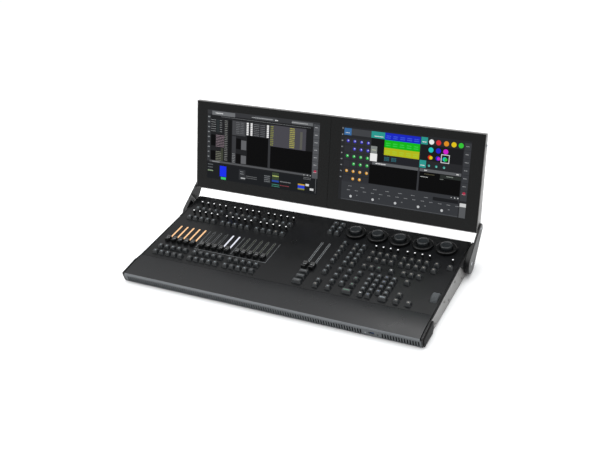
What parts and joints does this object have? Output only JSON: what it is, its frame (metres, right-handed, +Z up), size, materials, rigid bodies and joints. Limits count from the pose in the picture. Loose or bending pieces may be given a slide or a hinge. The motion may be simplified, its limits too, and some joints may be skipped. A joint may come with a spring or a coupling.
{
  "type": "lighting control desk",
  "caption": "Low sloped lighting desk with rows of keys, faders and ring encoders, an armrest, and a wide two-screen wing hinged on two side arms.",
  "frame": {"origin": "middle of the object's footprint, on the surface it stands on", "axes": "+X to the operator's right along the desk's width, +Y away from the operator, +Z up"},
  "size_m": [0.829, 0.4582, 0.3294],
  "materials": {
    "tray_steel": "matt black powder coat",
    "deck_paint": "satin black paint",
    "armrest_paint": "satin dark grey paint",
    "grille_paint": "satin dark grey paint",
    "cheek_aluminium": "bead blasted and anodised",
    "guard_plastic": "moulded, fine grain",
    "socket_plastic": "moulded",
    "foot_rubber": "moulded",
    "light_guide": "lit acrylic",
    "board_laminate": "solder mask",
    "unit_steel": "zinc plated",
    "supply_case": "mill finish",
    "screw_steel": "blackened",
    "pin_steel": "turned",
    "arm_paint": "satin black paint",
    "shell_aluminium": "bead blasted and anodised",
    "screen_glass": "hardened touch glass",
    "display_module": "lit display",
    "cap_plastic": "moulded",
    "encoder_plastic": "moulded, satin",
    "wheel_plastic": "moulded, ribbed",
    "key_plastic": "moulded, satin",
    "knob_plastic": "moulded with a lit top"
  },
  "bodies": {
    "console": {"bottom_tray": "tray_steel", "deck_panel": "deck_paint", "armrest": "armrest_paint", "front_grille": "grille_paint", "side_cheek_left": "cheek_aluminium", "side_cheek_right": "cheek_aluminium", "rear_panel": "tray_steel", "sockets": "socket_plastic", "rubber_feet": "foot_rubber", "corner_guards": "guard_plastic", "fader_light_bars": "light_guide", "circuit_boards": "board_laminate", "fader_units": "unit_steel", "encoder_units": "unit_steel", "power_supply": "supply_case", "case_screws": "screw_steel", "arm_hubs": "pin_steel"},
    "arms": {"arm_left": "arm_paint", "arm_right": "arm_paint"},
    "monitor": {"monitor_shell": "shell_aluminium", "screen_glass": "screen_glass", "display_panels": "display_module", "monitor_pins": "pin_steel"},
    "executor_fader_01": {"executor_fader_01": "cap_plastic"},
    "executor_fader_02": {"executor_fader_02": "cap_plastic"},
    "executor_fader_03": {"executor_fader_03": "cap_plastic"},
    "executor_fader_04": {"executor_fader_04": "cap_plastic"},
    "executor_fader_05": {"executor_fader_05": "cap_plastic"},
    "executor_fader_06": {"executor_fader_06": "cap_plastic"},
    "executor_fader_07": {"executor_fader_07": "cap_plastic"},
    "executor_fader_08": {"executor_fader_08": "cap_plastic"},
    "executor_fader_09": {"executor_fader_09": "cap_plastic"},
    "executor_fader_10": {"executor_fader_10": "cap_plastic"},
    "executor_fader_11": {"executor_fader_11": "cap_plastic"},
    "executor_fader_12": {"executor_fader_12": "cap_plastic"},
    "executor_fader_13": {"executor_fader_13": "cap_plastic"},
    "executor_fader_14": {"executor_fader_14": "cap_plastic"},
    "executor_fader_15": {"executor_fader_15": "cap_plastic"},
    "master_fader_left": {"master_fader_left": "cap_plastic"},
    "master_fader_right": {"master_fader_right": "cap_plastic"},
    "encoder_ring_1": {"encoder_ring_1": "encoder_plastic"},
    "encoder_dial_1": {"encoder_dial_1": "encoder_plastic"},
    "encoder_ring_2": {"encoder_ring_2": "encoder_plastic"},
    "encoder_dial_2": {"encoder_dial_2": "encoder_plastic"},
    "encoder_ring_3": {"encoder_ring_3": "encoder_plastic"},
    "encoder_dial_3": {"encoder_dial_3": "encoder_plastic"},
    "encoder_ring_4": {"encoder_ring_4": "encoder_plastic"},
    "encoder_dial_4": {"encoder_dial_4": "encoder_plastic"},
    "encoder_ring_5": {"encoder_ring_5": "encoder_plastic"},
    "encoder_dial_5": {"encoder_dial_5": "encoder_plastic"},
    "level_wheel": {"level_wheel": "wheel_plastic"},
    "executor_keys_rear": {"executor_keys_rear": "key_plastic"},
    "executor_keys_front": {"executor_keys_front": "key_plastic"},
    "go_keys": {"go_keys": "key_plastic"},
    "program_keys": {"program_keys": "key_plastic"},
    "command_keys": {"command_keys": "key_plastic"},
    "number_keys": {"number_keys": "key_plastic"},
    "macro_keys": {"macro_keys": "key_plastic"},
    "executor_knobs": {"executor_knobs": "knob_plastic"},
    "assign_knobs": {"assign_knobs": "knob_plastic"}
  },
  "joints": [
    {"name": "arm_lift", "type": "hinge", "parent": "console", "child": "arms", "pos_m": [0, 0.10095, 0.0335], "axis": [1, 0, 0], "range_deg": [-10, 10]},
    {"name": "monitor_tilt", "type": "hinge", "parent": "arms", "child": "monitor", "pos_m": [0, 0.17627, 0.09108], "axis": [1, 0, 0], "range_deg": [-15, 90]},
    {"name": "executor_fader_01_slide", "type": "slide", "parent": "console", "child": "executor_fader_01", "axis": [0, 0.9967, 0.0809], "range_m": [0, 0.06]},
    {"name": "executor_fader_02_slide", "type": "slide", "parent": "console", "child": "executor_fader_02", "axis": [0, 0.9967, 0.0809], "range_m": [0, 0.06]},
    {"name": "executor_fader_03_slide", "type": "slide", "parent": "console", "child": "executor_fader_03", "axis": [0, 0.9967, 0.0809], "range_m": [0, 0.06]},
    {"name": "executor_fader_04_slide", "type": "slide", "parent": "console", "child": "executor_fader_04", "axis": [0, 0.9967, 0.0809], "range_m": [0, 0.06]},
    {"name": "executor_fader_05_slide", "type": "slide", "parent": "console", "child": "executor_fader_05", "axis": [0, 0.9967, 0.0809], "range_m": [0, 0.06]},
    {"name": "executor_fader_06_slide", "type": "slide", "parent": "console", "child": "executor_fader_06", "axis": [0, 0.9967, 0.0809], "range_m": [0, 0.06]},
    {"name": "executor_fader_07_slide", "type": "slide", "parent": "console", "child": "executor_fader_07", "axis": [0, 0.9967, 0.0809], "range_m": [0, 0.06]},
    {"name": "executor_fader_08_slide", "type": "slide", "parent": "console", "child": "executor_fader_08", "axis": [0, 0.9967, 0.0809], "range_m": [0, 0.06]},
    {"name": "executor_fader_09_slide", "type": "slide", "parent": "console", "child": "executor_fader_09", "axis": [0, 0.9967, 0.0809], "range_m": [0, 0.06]},
    {"name": "executor_fader_10_slide", "type": "slide", "parent": "console", "child": "executor_fader_10", "axis": [0, 0.9967, 0.0809], "range_m": [0, 0.06]},
    {"name": "executor_fader_11_slide", "type": "slide", "parent": "console", "child": "executor_fader_11", "axis": [0, 0.9967, 0.0809], "range_m": [0, 0.06]},
    {"name": "executor_fader_12_slide", "type": "slide", "parent": "console", "child": "executor_fader_12", "axis": [0, 0.9967, 0.0809], "range_m": [0, 0.06]},
    {"name": "executor_fader_13_slide", "type": "slide", "parent": "console", "child": "executor_fader_13", "axis": [0, 0.9967, 0.0809], "range_m": [0, 0.06]},
    {"name": "executor_fader_14_slide", "type": "slide", "parent": "console", "child": "executor_fader_14", "axis": [0, 0.9967, 0.0809], "range_m": [0, 0.06]},
    {"name": "executor_fader_15_slide", "type": "slide", "parent": "console", "child": "executor_fader_15", "axis": [0, 0.9967, 0.0809], "range_m": [0, 0.06]},
    {"name": "master_fader_left_slide", "type": "slide", "parent": "console", "child": "master_fader_left", "axis": [0, 0.9967, 0.0809], "range_m": [0, 0.1]},
    {"name": "master_fader_right_slide", "type": "slide", "parent": "console", "child": "master_fader_right", "axis": [0, 0.9967, 0.0809], "range_m": [0, 0.1]},
    {"name": "encoder_ring_1_turn", "type": "hinge", "parent": "console", "child": "encoder_ring_1", "pos_m": [0.1048, 0.10553, 0.05699], "axis": [0, -0.0809, 0.9967], "continuous": true},
    {"name": "encoder_dial_1_turn", "type": "hinge", "parent": "console", "child": "encoder_dial_1", "pos_m": [0.1048, 0.10553, 0.05699], "axis": [0, -0.0809, 0.9967], "continuous": true},
    {"name": "encoder_ring_2_turn", "type": "hinge", "parent": "console", "child": "encoder_ring_2", "pos_m": [0.1655, 0.10553, 0.05699], "axis": [0, -0.0809, 0.9967], "continuous": true},
    {"name": "encoder_dial_2_turn", "type": "hinge", "parent": "console", "child": "encoder_dial_2", "pos_m": [0.1655, 0.10553, 0.05699], "axis": [0, -0.0809, 0.9967], "continuous": true},
    {"name": "encoder_ring_3_turn", "type": "hinge", "parent": "console", "child": "encoder_ring_3", "pos_m": [0.2262, 0.10553, 0.05699], "axis": [0, -0.0809, 0.9967], "continuous": true},
    {"name": "encoder_dial_3_turn", "type": "hinge", "parent": "console", "child": "encoder_dial_3", "pos_m": [0.2262, 0.10553, 0.05699], "axis": [0, -0.0809, 0.9967], "continuous": true},
    {"name": "encoder_ring_4_turn", "type": "hinge", "parent": "console", "child": "encoder_ring_4", "pos_m": [0.2869, 0.10553, 0.05699], "axis": [0, -0.0809, 0.9967], "continuous": true},
    {"name": "encoder_dial_4_turn", "type": "hinge", "parent": "console", "child": "encoder_dial_4", "pos_m": [0.2869, 0.10553, 0.05699], "axis": [0, -0.0809, 0.9967], "continuous": true},
    {"name": "encoder_ring_5_turn", "type": "hinge", "parent": "console", "child": "encoder_ring_5", "pos_m": [0.3476, 0.10553, 0.05699], "axis": [0, -0.0809, 0.9967], "continuous": true},
    {"name": "encoder_dial_5_turn", "type": "hinge", "parent": "console", "child": "encoder_dial_5", "pos_m": [0.3476, 0.10553, 0.05699], "axis": [0, -0.0809, 0.9967], "continuous": true},
    {"name": "level_wheel_turn", "type": "hinge", "parent": "console", "child": "level_wheel", "pos_m": [0.382, -0.08134, 0.02926], "axis": [1, 0, 0], "continuous": true},
    {"name": "executor_keys_rear_press", "type": "slide", "parent": "console", "child": "executor_keys_rear", "axis": [0, 0.0809, -0.9967], "range_m": [0, 0.002], "stiffness_N_per_m": 600, "springref_m": -0.003},
    {"name": "executor_keys_front_press", "type": "slide", "parent": "console", "child": "executor_keys_front", "axis": [0, 0.0809, -0.9967], "range_m": [0, 0.002], "stiffness_N_per_m": 600, "springref_m": -0.003},
    {"name": "go_keys_press", "type": "slide", "parent": "console", "child": "go_keys", "axis": [0, 0.0809, -0.9967], "range_m": [0, 0.002], "stiffness_N_per_m": 600, "springref_m": -0.003},
    {"name": "program_keys_press", "type": "slide", "parent": "console", "child": "program_keys", "axis": [0, 0.0809, -0.9967], "range_m": [0, 0.002], "stiffness_N_per_m": 600, "springref_m": -0.003},
    {"name": "command_keys_press", "type": "slide", "parent": "console", "child": "command_keys", "axis": [0, 0.0809, -0.9967], "range_m": [0, 0.002], "stiffness_N_per_m": 600, "springref_m": -0.003},
    {"name": "number_keys_press", "type": "slide", "parent": "console", "child": "number_keys", "axis": [0, 0.0809, -0.9967], "range_m": [0, 0.002], "stiffness_N_per_m": 600, "springref_m": -0.003},
    {"name": "macro_keys_press", "type": "slide", "parent": "console", "child": "macro_keys", "axis": [0, 0.0809, -0.9967], "range_m": [0, 0.002], "stiffness_N_per_m": 600, "springref_m": -0.003},
    {"name": "executor_knobs_press", "type": "slide", "parent": "console", "child": "executor_knobs", "axis": [0, 0.0809, -0.9967], "range_m": [0, 0.001], "stiffness_N_per_m": 600, "springref_m": -0.003},
    {"name": "assign_knobs_press", "type": "slide", "parent": "console", "child": "assign_knobs", "axis": [0, 0.0809, -0.9967], "range_m": [0, 0.001], "stiffness_N_per_m": 600, "springref_m": -0.003}
  ]
}
